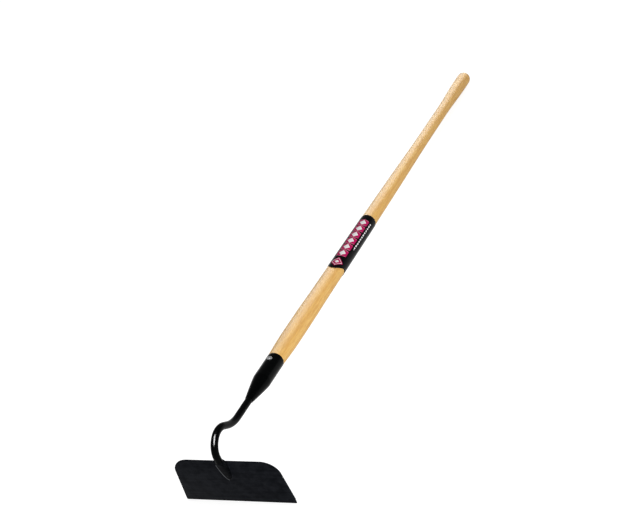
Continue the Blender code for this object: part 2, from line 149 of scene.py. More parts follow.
# What the finished pieces have beyond the model. The blade's rims stay keen within KEEN_HEIGHT of its
# cutting edge. The foot starts to thin gently, over FOOT_EASE, and its own paint starts FOOT_PAINT_FROM
# above the blade's top edge. The weld is WELD_START of its full size at its ends, its edge wanders once
# every WELD_WANDER, and its root reaches WELD_SINK under the foot's flank.
BLADE_RIM_SOFTNESS = 0.0004
KEEN_HEIGHT = 0.0005
FERRULE_RIM_SOFTNESS = 0.0005
FERRULE_FEATHER = 0.0003
FOOT_EASE = 0.009
FOOT_PAINT_FROM = 0.009
# How far inside the foot's outline the painted highlight line on its left rim runs
HIGHLIGHT_LINE_INSET = 0.0006
WELD_START = 0.2
WELD_RIPPLE = 0.0017
WELD_RIPPLE_DEPTH = 0.0002
WELD_RIPPLE_POWER = 0.6
WELD_WANDER = 0.0103
WELD_SINK = 0.0003

# Fineness of the finished pieces. Levels are the rings along a straight length, as depths below the rim.
ARC_STEP = math.radians(2.5)
BLADE_RIM_STEPS = 3
CORNER_STEPS = 6
SHOULDER_STEPS = 24
ROD_SIDES = 48
SPREAD_STEPS = 16
FOOT_STEPS = 44
FOOT_TIP_TURN = math.radians(89)
WELD_SIDES = 24
WELD_STEPS = 150
TANG_LEVELS = (0.008, RIVET_BELOW_RIM, 0.030, 0.060, TENON_DEPTH)
TURNED_STEPS = 112
FERRULE_LEVELS = (0.004, 0.012, 0.025, 0.040, 0.055, 0.062)
FERRULE_INNER_LEVELS = (0.040, 0.012, 0.0)
FERRULE_RIM_STEPS = 4
FERRULE_TAPER_STEPS = 40
RIVET_STEPS = 48
RIVET_HEAD_STEPS = 12
HOLE_SIDES = 40
HANDLE_STEP = 0.010
DOME_STEPS = 18
TENON_LEVELS = (0.012, 0.025, FERRULE_STRAIGHT, 0.075, 0.085, TENON_DEPTH)
LABEL_COLUMNS = 220
LABEL_ROWS = 64
MERGE_DISTANCE = 0.000002

# Turns between two faces: past the first the blade's rims are softened, past the others an edge looks sharp
SOFTENED_TURN = math.radians(40)
SHARP_TURN = math.radians(35)
BLADE_SHARP_TURN = math.radians(28)
WELD_SHARP_TURN = math.radians(50)
LABEL_SHARP_TURN = math.radians(60)

# The label's print, in millimetres across from the middle of the handle's top and up from the ferrule's rim
CHAIN_ACROSS = 3.6
CHAIN_FROM = 352.0
TILE_COUNT = 6
TILE_PITCH = 25.4
TILE_HALF_LENGTH = 12.9
TILE_HALF_WIDTH = 10.1
TILE_POINT = 0.30
KEYLINE_FROM = 11.55
KEYLINE_TO = 12.15
KEYLINE_HALF_WIDTH = 8.95
DIAMOND_HALF_LENGTH = 9.6
DIAMOND_HALF_WIDTH = 6.4
DASH_ACROSS = 18.6
DASH_HALF_WIDTH = 1.2
DASH_PITCH = 9.0
DASH_SHARE = 0.685
DASHES_FROM = 392.1
DASHES_TO = 499.9
LOZENGE_ACROSS = 4.0
LOZENGE_ALONG = 330.0
LOZENGE_HALF_WIDTH = 12.6
LOZENGE_HALF_LENGTH = 16.0

# The wood's rings: how far their centre lies from the handle's, and the width of a ring
PITH_ASIDE = 0.046
PITH_BELOW = 0.031
RING_WIDTH = 0.0021

# The room: the floor's half width, the glow that makes it look white, its own grey, and the sky overhead
FLOOR_REACH = 40.0
FLOOR_GLOW = 0.84
FLOOR_GREY = 0.48
SKY_LEVEL = 0.34

# The camera, fitted to the hoe's outlines in the photo
CAMERA_PLACE = (1.17254, -2.58630, 1.63550)
CAMERA_AIM = (0.00698, -0.25476, 0.15044)
CAMERA_ROLL = math.radians(-15.172)
CAMERA_LENS = 92.486


# How the hoe lies

def bend(place, radius, angle):
    """Follows an arc from a place (y, z, heading); a positive angle turns the rod down to the blade."""
    y, z, heading = place
    count = max(1, math.ceil(abs(angle) / ARC_STEP))
    turn = angle / count
    chord = 2 * radius * math.sin(abs(turn) / 2)
    places = []
    for _ in range(count):
        y += chord * math.cos(heading + turn / 2)
        z += chord * math.sin(heading + turn / 2)
        heading += turn
        places.append((y, z, heading))
    return places


def straight(place, length):
    y, z, heading = place
    return (y + length * math.cos(heading), z + length * math.sin(heading), heading)


def neck_line():
    """Centreline of the rod from the small end of the ferrule to the blade's top edge."""
    line = [straight((0.0, 0.0, math.pi), FERRULE_STRAIGHT + FERRULE_TAPER)]
    line.append(straight(line[-1], NECK_STRAIGHT))
    line += bend(line[-1], RISE_RADIUS, -RISE_ANGLE)
    line.append(straight(line[-1], RISE_RUN))
    line += bend(line[-1], CREST_RADIUS, RISE_ANGLE)
    line += bend(line[-1], FRONT_RADIUS, math.pi / 2)
    line += bend(line[-1], RETURN_RADIUS, math.pi / 2 - BLADE_ANGLE)
    line.append(straight(line[-1], NECK_DROP))
    return line


def blade_frame(line):
    """Puts the blade's own frame, outer face at z 0 and top edge at y 0, into the hoe's."""
    y, z, heading = line[-1]
    seat = ROD_RADIUS + GAP
    place = Vector((0.0, y - math.sin(heading) * seat, z + math.cos(heading) * seat))
    return Matrix.Translation(place) @ Matrix.Rotation(heading - math.pi, 4, "X")


def lying(line, on_blade):
    """Turns and places the hoe so that its cutting edge and its handle's end touch the ground."""
    edge = on_blade @ Vector((0.0, -BLADE_HEIGHT, 0.0))
    run = EXPOSED_LENGTH - DOME_RADIUS - edge.y
    tilt = math.atan2(-edge.z, run) - math.asin(DOME_RADIUS / math.hypot(run, edge.z))
    front = min(y * math.cos(tilt) + z * math.sin(tilt) for y, z, _ in line) - ROD_RADIUS
    back = (EXPOSED_LENGTH - DOME_RADIUS) * math.cos(tilt) + DOME_RADIUS
    lowest = edge.z * math.cos(tilt) - edge.y * math.sin(tilt)
    return Matrix.Translation((0.0, -(front + back) / 2, -lowest)) @ Matrix.Rotation(-tilt, 4, "X")


CENTRELINE = neck_line()
ON_BLADE = blade_frame(CENTRELINE)
LAY_DOWN = lying(CENTRELINE, ON_BLADE)


# Making the pieces

def finished(name, shape, finishes, sharp_turn=SHARP_TURN):
    """Closes a shape, lays it down with the hoe and gives it its finishes."""
    bmesh.ops.remove_doubles(shape, verts=shape.verts, dist=MERGE_DISTANCE)
    bmesh.ops.recalc_face_normals(shape, faces=shape.faces)
    bmesh.ops.transform(shape, matrix=LAY_DOWN, verts=shape.verts)
    mesh = bpy.data.meshes.new(name)
    shape.to_mesh(mesh)
    shape.free()
    mesh.shade_smooth()
    mesh.set_sharp_from_angle(angle=sharp_turn)
    for finish in finishes:
        mesh.materials.append(finish)
    piece = bpy.data.objects.new(name, mesh)
    bpy.context.scene.collection.objects.link(piece)
    return piece


def stands_for(piece, node):
    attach(piece, "root")
    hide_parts(node)


def turned(profile, steps=TURNED_STEPS):
    """Spins a profile of (radius, distance up the handle) about the handle's axis."""
    shape = bmesh.new()
    points = [shape.verts.new((0.0, height, radius)) for radius, height in profile]
    for first, second in zip(points, points[1:]):
        shape.edges.new((first, second))
    if profile[0][0] > 0.0:
        shape.edges.new((points[-1], points[0]))
    bmesh.ops.spin(
        shape, geom=shape.verts[:] + shape.edges[:], cent=(0, 0, 0), axis=(0, 1, 0), dvec=(0, 0, 0),
        angle=2 * math.pi, steps=steps, use_merge=True, use_duplicate=False,
    )
    bmesh.ops.remove_doubles(shape, verts=shape.verts, dist=MERGE_DISTANCE)
    return shape


def quarter_turn(steps):
    """Angles from 0 to a quarter of a turn, both ends included."""
    return [math.pi / 2 * step / steps for step in range(steps + 1)]


def drawn(sides, stations, point_at):
    """Draws a ring through a row of stations; point_at gives a ring's point at a share of a turn."""
    shape = bmesh.new()
    share = shape.verts.layers.float.new("share")
    bmesh.ops.create_circle(shape, segments=sides, radius=1.0)
    for vert in shape.verts:
        vert[share] = math.atan2(vert.co.y, vert.co.x) / (2 * math.pi)
    ring, edges = shape.verts[:], shape.edges[:]
    for index, station in enumerate(stations):
        if index:
            made = bmesh.ops.extrude_edge_only(shape, edges=edges)["geom"]
            ring = [part for part in made if isinstance(part, bmesh.types.BMVert)]
            fresh = set(ring)
            edges = [
                part for part in made
                if isinstance(part, bmesh.types.BMEdge) and fresh.issuperset(part.verts)
            ]
        for vert in ring:
            vert.co = point_at(station, vert[share])
    bmesh.ops.holes_fill(shape, edges=shape.edges, sides=sides)
    return shape


def drill(piece):
    """Cuts the rivet's hole straight through a piece that is already laid down."""
    hole = bmesh.new()
    bmesh.ops.create_cone(
        hole, cap_ends=True, segments=HOLE_SIDES, radius1=HOLE_RADIUS, radius2=HOLE_RADIUS,
        depth=4 * FERRULE_RADIUS,
    )
    bmesh.ops.translate(hole, vec=(0, -RIVET_BELOW_RIM, 0), verts=hole.verts)
    drill_bit = finished("drill_bit", hole, [])
    cut = piece.modifiers.new("rivet_hole", "BOOLEAN")
    cut.operation = "DIFFERENCE"
    cut.object = drill_bit
    bpy.context.view_layer.update()
    solid = bpy.data.meshes.new_from_object(piece.evaluated_get(bpy.context.evaluated_depsgraph_get()))
    piece.modifiers.clear()
    whole, piece.data = piece.data, solid
    solid.name = piece.name
    bpy.data.meshes.remove(whole)
    bpy.data.meshes.remove(drill_bit.data)
    solid.set_sharp_from_angle(angle=SHARP_TURN)


def smooth_step(value):
    value = min(max(value, 0.0), 1.0)
    return value * value * (3 - 2 * value)


# Handle

def handle_sizes():
    """Distances up the handle and its diameter there, from the rim to where the dome starts."""
    return (
        (0.0, RIM_DIAMETER),
        (SWELL_START, SWELL_DIAMETER),
        (SWELL_END, SWELL_DIAMETER),
        (BODY_AT, BODY_DIAMETER),
        (MIDDLE_AT, MIDDLE_DIAMETER),
        (UPPER_AT, UPPER_DIAMETER),
        (EXPOSED_LENGTH - SLIM_FROM_END, SLIM_DIAMETER),
        (EXPOSED_LENGTH - SLIM_TO_END, SLIM_DIAMETER),
        (EXPOSED_LENGTH - GRIP_TO_END, GRIP_DIAMETER),
        (EXPOSED_LENGTH - DOME_RADIUS, GRIP_DIAMETER),
    )


def handle_radius(height):
    """Smooth curve through the turned sizes of the handle, level at each peak and hollow."""
    stations = [(at, diameter / 2) for at, diameter in handle_sizes()]
    index = 0
    while index < len(stations) - 2 and height > stations[index + 1][0]:
        index += 1
    (start, low), (end, high) = stations[index], stations[index + 1]

    def slope(at):
        if at == 0 or at == len(stations) - 1:
            return 0.0 if at else RIM_SLOPE
        before = (stations[at][1] - stations[at - 1][1]) / (stations[at][0] - stations[at - 1][0])
        after = (stations[at + 1][1] - stations[at][1]) / (stations[at + 1][0] - stations[at][0])
        return 0.0 if before * after <= 0.0 else 2 * before * after / (before + after)

    span = end - start
    t = min(max((height - start) / span, 0.0), 1.0)
    return (
        (2 * t ** 3 - 3 * t ** 2 + 1) * low
        + (t ** 3 - 2 * t ** 2 + t) * span * slope(index)
        + (3 * t ** 2 - 2 * t ** 3) * high
        + (t ** 3 - t ** 2) * span * slope(index + 1)
    )


def tang_radius(height):
    along = (height + TENON_DEPTH) / (TENON_DEPTH + TANG_PAST_RIM)
    return (TANG_ROOT_DIAMETER + (TANG_TIP_DIAMETER - TANG_ROOT_DIAMETER) * along) / 2


def make_handle(finish):
    """Ash handle with its domed end, its tenon and the bore for the tang."""
    dome_centre = EXPOSED_LENGTH - DOME_RADIUS
    profile = [
        (DOME_RADIUS * math.sin(angle), dome_centre + DOME_RADIUS * math.cos(angle))
        for angle in quarter_turn(DOME_STEPS)
    ]
    count = math.ceil(dome_centre / HANDLE_STEP)
    for step in range(1, count):
        height = dome_centre * (1 - step / count)
        profile.append((handle_radius(height), height))
    profile.append((handle_radius(GAP), GAP))
    profile.append((ferrule_inside(0.0) - GAP, GAP))
    for depth in TENON_LEVELS:
        profile.append((ferrule_inside(-depth) - GAP, -depth))
    profile.append((tang_radius(-TENON_DEPTH) + GAP, -TENON_DEPTH))
    profile.append((tang_radius(TANG_PAST_RIM) + GAP, TANG_PAST_RIM))
    profile.append((0.0, TANG_PAST_RIM + BORE_SPARE))
    handle = finished("ash_handle", turned(profile), [finish])
    drill(handle)
    stands_for(handle, "handle")
    return handle


# Ferrule

def ferrule_outside(height):
    along_taper = min(max((-height - FERRULE_STRAIGHT) / FERRULE_TAPER, 0.0), 1.0)
    end_radius = ROD_RADIUS + GAP + FERRULE_END_WALL
    return FERRULE_RADIUS - (FERRULE_RADIUS - end_radius) * along_taper ** TAPER_POWER


def ferrule_inside(height):
    along_taper = min(max((-height - FERRULE_STRAIGHT) / FERRULE_TAPER, 0.0), 1.0)
    return ferrule_outside(height) - FERRULE_WALL - (FERRULE_END_WALL - FERRULE_WALL) * along_taper


def make_ferrule(finish):
    """Drawn steel cap with softened rims; its taper closes on the rod."""
    soft = FERRULE_RIM_SOFTNESS
    profile = [
        (FERRULE_RADIUS - soft + soft * math.sin(angle), soft * math.cos(angle) - soft)
        for angle in quarter_turn(FERRULE_RIM_STEPS)
    ]
    for depth in FERRULE_LEVELS:
        profile.append((FERRULE_RADIUS, -depth))
    taper = [
        -FERRULE_STRAIGHT - FERRULE_TAPER * step / FERRULE_TAPER_STEPS
        for step in range(FERRULE_TAPER_STEPS + 1)
    ]
    for height in taper:
        feather = FERRULE_FEATHER if height == taper[-1] else 0.0
        profile.append((ferrule_outside(height) - feather, height))
    # Back along the inside, with every other ring of the taper
    for height in taper[::-2]:
        profile.append((ferrule_inside(height), height))
    for depth in FERRULE_INNER_LEVELS:
        profile.append((ferrule_inside(0.0), -depth))
    ferrule = finished("steel_ferrule", turned(profile), [finish])
    drill(ferrule)
    stands_for(ferrule, "ferrule")


# Rivet

def make_rivet(finish):
    """Domed head above, flatter set head below, shank through ferrule, handle and tang."""
    seat = FERRULE_RADIUS + GAP
    angles = quarter_turn(RIVET_HEAD_STEPS)
    profile = [
        (RIVET_HEAD_DIAMETER / 2 * math.sin(angle), seat + RIVET_HEAD_HEIGHT * math.cos(angle))
        for angle in angles
    ]
    profile += [(RIVET_DIAMETER / 2, seat), (RIVET_DIAMETER / 2, -seat)]
    profile += [
        (RIVET_TAIL_DIAMETER / 2 * math.sin(angle), -seat - RIVET_TAIL_HEIGHT * math.cos(angle))
        for angle in reversed(angles)
    ]
    shape = turned(profile, RIVET_STEPS)
    bmesh.ops.rotate(shape, cent=(0, 0, 0), matrix=Matrix.Rotation(math.pi / 2, 3, "X"), verts=shape.verts)
    bmesh.ops.translate(shape, vec=(0, -RIVET_BELOW_RIM, 0), verts=shape.verts)
    rivet = finished("steel_rivet", shape, [finish])
    stands_for(rivet, "rivet")


# Neck

def foot_half_width(down):
    """Half the foot's width at a distance below the blade's top edge, as a leaf with a round tip."""
    if down > 0.0:
        return FOOT_WIDTH / 2 * math.sqrt(max(1.0 - (down / FOOT_LENGTH) ** FOOT_LEAF, 0.0))
    return ROD_RADIUS + (FOOT_WIDTH / 2 - ROD_RADIUS) * max(down / FOOT_SPREAD + 1, 0.0) ** 2


def foot_thickness(down):
    """Thins from the rod's diameter, where the foot starts to spread, to the tip; it starts gently."""
    thinned = max(down + FOOT_SPREAD, 0.0)
    thinned *= min(thinned / FOOT_EASE, 1.0)
    left = max(1.0 - thinned / (FOOT_LENGTH + FOOT_SPREAD), 0.0)
    return FOOT_TIP_THICKNESS + (2 * ROD_RADIUS - FOOT_TIP_THICKNESS) * left ** FOOT_THINNING


def foot_below(down):
    """Share of the foot's thickness that lies below its widest level."""
    return FOOT_ROUND_BELOW + (FOOT_FLAT_BELOW - FOOT_ROUND_BELOW) * smooth_step(down / FOOT_SPREAD + 1)


def foot_squareness(down):
    """Power of the foot's section: 2 for an ellipse, and more for a flatter top."""
    return 2 + (FOOT_SQUARENESS - 2) * smooth_step(down / FOOT_SPREAD + 1)


def foot_station(place, down):
    """The foot's section at a place, which goes from round to flat above the blade's top edge."""
    thickness, below = foot_thickness(down), foot_below(down)
    lift = thickness * below - ROD_RADIUS
    return place, foot_half_width(down), thickness * (1 - below), lift, foot_squareness(down)


def round_station(place, radius):
    return place, radius, radius, 0.0, 2.0


def rod_point(station, share):
    """A point round the rod: an ellipse or a squarer round, cut flat where it lies on the blade."""
    (y, z, heading), half_width, half_height, lift, squareness = station
    angle = 2 * math.pi * share
    across, up = (
        math.copysign(abs(reach) ** (2 / squareness), reach) for reach in (math.cos(angle), math.sin(angle))
    )
    height = max(lift + half_height * up, -ROD_RADIUS)
    return Vector((half_width * across, y + math.sin(heading) * height, z - math.cos(heading) * height))


def make_neck(finish, foot_finish):
    """Tang, rod, goose neck and flattened foot in one forging."""
    stations = [round_station((TANG_PAST_RIM, 0.0, math.pi), tang_radius(TANG_PAST_RIM) / 2)]
    for height in (TANG_PAST_RIM - TANG_POINT, *(-depth for depth in TANG_LEVELS)):
        stations.append(round_station((height, 0.0, math.pi), tang_radius(height)))
    stations.append(round_station((-TENON_DEPTH - TANG_SHOULDER, 0.0, math.pi), ROD_RADIUS))
    stations += [round_station(place, ROD_RADIUS) for place in CENTRELINE[:-1]]
    downs = [-FOOT_SPREAD * (1 - step / SPREAD_STEPS) for step in range(SPREAD_STEPS + 1)]
    downs += [
        FOOT_LENGTH * math.sin(FOOT_TIP_TURN * step / FOOT_STEPS) for step in range(1, FOOT_STEPS + 1)
    ]
    stations += [foot_station(straight(CENTRELINE[-1], down), down) for down in downs]
    shape = drawn(ROD_SIDES, stations, rod_point)
    from_blade = ON_BLADE.inverted()
    for face in shape.faces:
        spot = from_blade @ face.calc_center_median()
        face.material_index = int(spot.y < FOOT_PAINT_FROM and spot.z > 0.0)
    neck = finished("forged_neck", shape, [finish, foot_finish])
    drill(neck)
    stands_for(neck, "neck")
    return neck


# Blade

def make_blade(finish):
    """Plate with rounded shoulders and softened rims, ground thin along its cutting edge inside."""
    shape = bmesh.new()
    top, bottom = BLADE_TOP_WIDTH / 2, BLADE_WIDTH / 2
    corners = [
        shape.verts.new(corner)
        for corner in ((-top, 0, 0), (-bottom, -BLADE_HEIGHT, 0), (bottom, -BLADE_HEIGHT, 0), (top, 0, 0))
    ]
    shape.faces.new(corners)
    lower_half_turn = math.atan2(BLADE_HEIGHT, bottom - top) / 2
    for pair, half_turn, radius, steps in (
        (corners[1:3], lower_half_turn, CORNER_RADIUS, CORNER_STEPS),
        (corners[::3], math.pi / 2 - lower_half_turn, SHOULDER_RADIUS, SHOULDER_STEPS),
    ):
        bmesh.ops.bevel(
            shape, geom=pair, offset=radius / math.tan(half_turn), offset_type="OFFSET",
            affect="VERTICES", segments=steps, profile=0.5, material=-1,
        )
    made = bmesh.ops.extrude_face_region(shape, geom=shape.faces[:])["geom"]
    inner = [part for part in made if isinstance(part, bmesh.types.BMVert)]
    bmesh.ops.translate(shape, vec=(0, 0, -BLADE_THICKNESS), verts=inner)
    slope = math.atan2(BLADE_THICKNESS - EDGE_LAND, BEVEL_HEIGHT)
    cut = bmesh.ops.bisect_plane(
        shape, geom=shape.verts[:] + shape.edges[:] + shape.faces[:],
        plane_co=(0, -BLADE_HEIGHT, -EDGE_LAND), plane_no=(0, -math.sin(slope), -math.cos(slope)),
        clear_outer=True,
    )["geom_cut"]
    bmesh.ops.contextual_create(shape, geom=[part for part in cut if isinstance(part, bmesh.types.BMEdge)])
    bmesh.ops.recalc_face_normals(shape, faces=shape.faces)
    # Every rim is softened but those of the cutting edge
    edge_top = KEEN_HEIGHT - BLADE_HEIGHT
    rims = [
        edge for edge in shape.edges
        if edge.calc_face_angle(0.0) > SOFTENED_TURN and any(vert.co.y >= edge_top for vert in edge.verts)
    ]
    bmesh.ops.bevel(
        shape, geom=rims, offset=BLADE_RIM_SOFTNESS, offset_type="OFFSET", affect="EDGES",
        segments=BLADE_RIM_STEPS, profile=0.5, material=-1,
    )
    bmesh.ops.transform(shape, matrix=ON_BLADE, verts=shape.verts)
    blade = finished("plate_blade", shape, [finish], BLADE_SHARP_TURN)
    stands_for(blade, "blade")


# Weld

def foot_flank(down, height):
    """Half the foot's width at a height above the blade."""
    thickness, below = foot_thickness(down), foot_below(down)
    up = abs(height - thickness * below) / (thickness * (1 - below))
    power = foot_squareness(down)
    return foot_half_width(down) * max(1 - up ** power, 0.0) ** (1 / power)


def make_weld(finish):
    """Fillet of weld round the foot, with the shallow ripples of a bead laid by hand."""
    places = []
    travelled = 0.0
    for step in range(-WELD_STEPS, WELD_STEPS + 1):
        down = GAP + (FOOT_LENGTH - GAP) * math.cos(math.pi / 2 * step / WELD_STEPS)
        at = Vector((math.copysign(foot_half_width(down), step), -down))
        if places:
            travelled += (at - places[-1][0]).length
        places.append([at, Vector((0.0, 0.0)), travelled])
    for index, place in enumerate(places):
        before, after = places[max(index - 1, 0)][0], places[min(index + 1, len(places) - 1)][0]
        along = (after - before).normalized()
        place[1] = Vector((along.y, -along.x))

    def fillet_point(station, share):
        """The bead's section: up the foot's flank, down a hollow face to the blade, and back along it."""
        at, outward, run = station
        ends = min(min(run, travelled - run) / WELD_LEG, 1.0)
        full = WELD_START + (1 - WELD_START) * math.sqrt(1 - (1 - ends) ** 2)
        ripple = WELD_RIPPLE_DEPTH * (1 - abs(math.sin(math.pi * run / WELD_RIPPLE)) ** WELD_RIPPLE_POWER)
        wander = WELD_RIPPLE_DEPTH * math.sin(2 * math.pi * run / WELD_WANDER)
        leg = WELD_LEG * full + wander - ripple
        rise = min(WELD_RISE * foot_thickness(-at.y), WELD_TALLEST) * full - ripple
        turn = (share % 1.0) * 4
        hollow = math.pi / 4 * min(max(turn - 1, 0.0), 2.0)
        up = rise * (turn if turn < 1 else 1 - math.sin(hollow))
        out = leg * (1 - math.cos(hollow) if turn < 3 else 4 - turn)
        out -= WELD_SINK * (1 - out / leg)
        inset = foot_half_width(-at.y) - foot_flank(-at.y, up)
        spot = at + outward * (out - min(inset, WELD_LEG) * (1 - out / leg))
        return Vector((spot.x, spot.y, max(up, 0.0) + GAP / 3))

    shape = drawn(WELD_SIDES, places, fillet_point)
    bmesh.ops.transform(shape, matrix=ON_BLADE, verts=shape.verts)
    weld = finished("weld_fillet", shape, [finish], WELD_SHARP_TURN)
    stands_for(weld, "weld_bead")


# Label

def label_lower_edge(angle):
    """Distance from the rim to the label's lower edge, which drops into a rounded tab at the front."""
    offset = (angle - LABEL_TURN + math.pi) % (2 * math.pi) - math.pi
    arc = abs(offset) * handle_radius(LABEL_FROM_RIM)
    if arc >= TAB_HALF_WIDTH:
        return LABEL_FROM_RIM
    return LABEL_FROM_RIM - TAB_DEPTH * (1 + math.cos(math.pi * arc / TAB_HALF_WIDTH)) / 2


def make_label(print_finish, card_finish):
    """Card sleeve wrapped once round the handle, lapped at the back; its UV map is in millimetres."""
    total = 2 * math.pi + LABEL_LAP
    first = LABEL_TURN + math.pi - LABEL_LAP / 2
    front = total / 2 - LABEL_TURN
    top = LABEL_FROM_RIM + LABEL_LENGTH
    shape = bmesh.new()
    bmesh.ops.create_grid(
        shape, x_segments=LABEL_COLUMNS, y_segments=LABEL_ROWS, size=0.5, calc_uvs=False,
    )
    sheet_map = shape.loops.layers.uv.new("sheet_mm")
    on_sheet = {}
    for vert in shape.verts:
        around = total * (vert.co.x + 0.5)
        angle = first + around
        lift = LAP_LIFT * smooth_step((around - (2 * math.pi - LAP_RAMP)) / LAP_RAMP)
        bottom = label_lower_edge(angle)
        height = bottom + (top - bottom) * (vert.co.y + 0.5)
        radius = handle_radius(height) + GAP + lift
        on_sheet[vert] = (1000 * (around - front) * handle_radius(height), 1000 * height)
        vert.co = (radius * math.sin(angle), height, radius * math.cos(angle))
    for face in shape.faces:
        for loop in face.loops:
            loop[sheet_map].uv = on_sheet[loop.vert]
    label = finished("card_label", shape, [print_finish, card_finish], LABEL_SHARP_TURN)
    wall = label.modifiers.new("card", "SOLIDIFY")
    wall.thickness = LABEL_THICKNESS
    wall.offset = 1.0
    wall.material_offset_rim = 1
    stands_for(label, "label_sleeve")


# Finishes

class Signal:
    """A value inside a material, so that a pattern can be written as plain sums."""

    def __init__(self, tree, socket):
        self.tree = tree
        self.socket = socket

    def using(self, operation, *others):
        node = self.tree.nodes.new("ShaderNodeMath")
        node.operation = operation
        feed(self.tree, node.inputs[0], self)
        for slot, other in zip(list(node.inputs)[1:], others):
            feed(self.tree, slot, other)
        return Signal(self.tree, node.outputs[0])

    def __add__(self, other):
        return self.using("ADD", other)

    def __sub__(self, other):
        return self.using("SUBTRACT", other)

    def __mul__(self, other):
        return self.using("MULTIPLY", other)

    def __truediv__(self, other):
        return self.using("DIVIDE", other)

    def __abs__(self):
        return self.using("ABSOLUTE")

    def above(self, low, high):
        """0 below low, 1 above high and smooth between; the other way round where low is the larger."""
        node = self.tree.nodes.new("ShaderNodeMapRange")
        node.interpolation_type = "SMOOTHSTEP"
        feed(self.tree, node.inputs[0], self)
        if low > high:
            low, high = high, low
            node.inputs[3].default_value, node.inputs[4].default_value = 1.0, 0.0
        node.inputs[1].default_value, node.inputs[2].default_value = low, high
        return Signal(self.tree, node.outputs[0])

    def over(self, limit, blur):
        return self.above(limit - blur, limit + blur)

    def under(self, limit, blur):
        return self.above(limit + blur, limit - blur)


def feed(tree, slot, value):
    """Links a signal or a socket to a slot, or sets a plain value on it."""
    if isinstance(value, Signal):
        value = value.socket
    if isinstance(value, bpy.types.NodeSocket):
        tree.links.new(value, slot)
    else:
        slot.default_value = value


def new_finish(name, **settings):
    finish = bpy.data.materials.new(name)
    finish.use_nodes = True
    shader = finish.node_tree.nodes["Principled BSDF"]
    for key, value in settings.items():
        shader.inputs[key.replace("_", " ")].default_value = value
    return finish, finish.node_tree, shader


def coordinates(tree, seat=Matrix()):
    """Object coordinates in metres, seen from a seat: the place and turn of a frame of its own."""
    node = tree.nodes.new("ShaderNodeMapping")
    node.vector_type = "TEXTURE"
    feed(tree, node.inputs["Vector"], tree.nodes.new("ShaderNodeTexCoord").outputs["Object"])
    node.inputs["Location"].default_value = seat.translation
    node.inputs["Rotation"].default_value = seat.to_euler()
    return node.outputs[0]


def stretched(tree, vector, scale):
    node = tree.nodes.new("ShaderNodeMapping")
    feed(tree, node.inputs["Vector"], vector)
    node.inputs["Scale"].default_value = scale
    return node.outputs[0]


def noise(tree, vector, scale=1.0, detail=3.0, rough=0.5):
    node = tree.nodes.new("ShaderNodeTexNoise")
    feed(tree, node.inputs["Vector"], vector)
    node.inputs["Scale"].default_value = scale
    node.inputs["Detail"].default_value = detail
    node.inputs["Roughness"].default_value = rough
    return Signal(tree, node.outputs[0])


def axes(tree, vector):
    node = tree.nodes.new("ShaderNodeSeparateXYZ")
    feed(tree, node.inputs[0], vector)
    return [Signal(tree, socket) for socket in node.outputs]


def mixed(tree, share, first, second):
    """Colour that goes from first to second with a share from 0 to 1."""
    node = tree.nodes.new("ShaderNodeMix")
    node.data_type = "RGBA"
    feed(tree, node.inputs[0], share)
    for slot, colour in ((6, first), (7, second)):
        feed(tree, node.inputs[slot], (*colour, 1.0) if isinstance(colour, tuple) else colour)
    return node.outputs[2]


def bumped(tree, shader, layers):
    """Stacks bumps on a shader, each a signal with its height in metres."""
    normal = None
    for signal, height in layers:
        node = tree.nodes.new("ShaderNodeBump")
        node.inputs["Distance"].default_value = height
        feed(tree, node.inputs["Height"], signal)
        if normal is not None:
            feed(tree, node.inputs["Normal"], normal)
        normal = node.outputs[0]
    feed(tree, shader.inputs["Normal"], normal)


def gloss_black_paint():
    """Dipped gloss black over forged steel: shallow lumps, orange peel and dust."""
    finish, tree, shader = new_finish("gloss_black_paint", IOR=1.5, Specular_IOR_Level=0.025)
    here = coordinates(tree, LAY_DOWN)
    lumps = noise(tree, here, scale=90.0, detail=2.0)
    peel = noise(tree, here, scale=620.0, detail=2.0)
    dust = noise(tree, here, scale=260.0, detail=5.0, rough=0.7).above(0.48, 0.80)
    clean, dusty = (0.0006, 0.0008, 0.0009), (0.0040, 0.0044, 0.0047)
    feed(tree, shader.inputs["Base Color"], mixed(tree, dust * 0.7, clean, dusty))
    feed(tree, shader.inputs["Roughness"], lumps * 0.04 + dust * 0.03 + 0.15)
    bumped(tree, shader, ((lumps, 0.00006), (peel, 0.000006)))
    return finish


def foot_paint_and_painted_highlight():
    """Black paint dulled by the weld's heat, with a painted highlight: a pale line along the foot's left rim
    only.
    """
    finish, tree, shader = new_finish("foot_paint_and_painted_highlight", IOR=1.5, Specular_IOR_Level=0.006)
    here = coordinates(tree, LAY_DOWN)
    x, y, z = axes(tree, coordinates(tree, LAY_DOWN @ ON_BLADE))
    # The painted highlight line follows the leaf of the foot's outline, a little inside it
    down = (y / -FOOT_LENGTH).using("MAXIMUM", 0.0).using("MINIMUM", 1.0)
    leaf = (down.using("POWER", FOOT_LEAF) * -1.0 + 1.0).using("SQRT")
    rim = leaf * (HIGHLIGHT_LINE_INSET - FOOT_WIDTH / 2)
    # Painted highlight: a pale grey line on the left rim only, where light from the left would catch the
    # foot; it is not wear
    painted_highlight_line = abs(x - rim).above(0.0036, 0.0022) * y.above(0.007, 0.002)
    painted_highlight_line = painted_highlight_line * z.above(0.001, 0.002) * x.above(0.003, 0.001)
    painted_highlight_line = painted_highlight_line * noise(tree, here, scale=330.0, rough=0.6).above(0.26, 0.44)
    soot = noise(tree, here, scale=240.0, detail=4.0, rough=0.6)
    sooty, burnt, highlight_grey = (0.0022, 0.0027, 0.0034), (0.0078, 0.0088, 0.0104), (0.215, 0.225, 0.240)
    paint = mixed(tree, soot.above(0.36, 0.64), sooty, burnt)
    feed(tree, shader.inputs["Base Color"], mixed(tree, painted_highlight_line, paint, highlight_grey))
    feed(tree, shader.inputs["Roughness"], soot * 0.2 + painted_highlight_line * 0.1 + 0.25)
    bumped(tree, shader, ((soot, 0.00008),))
    return finish


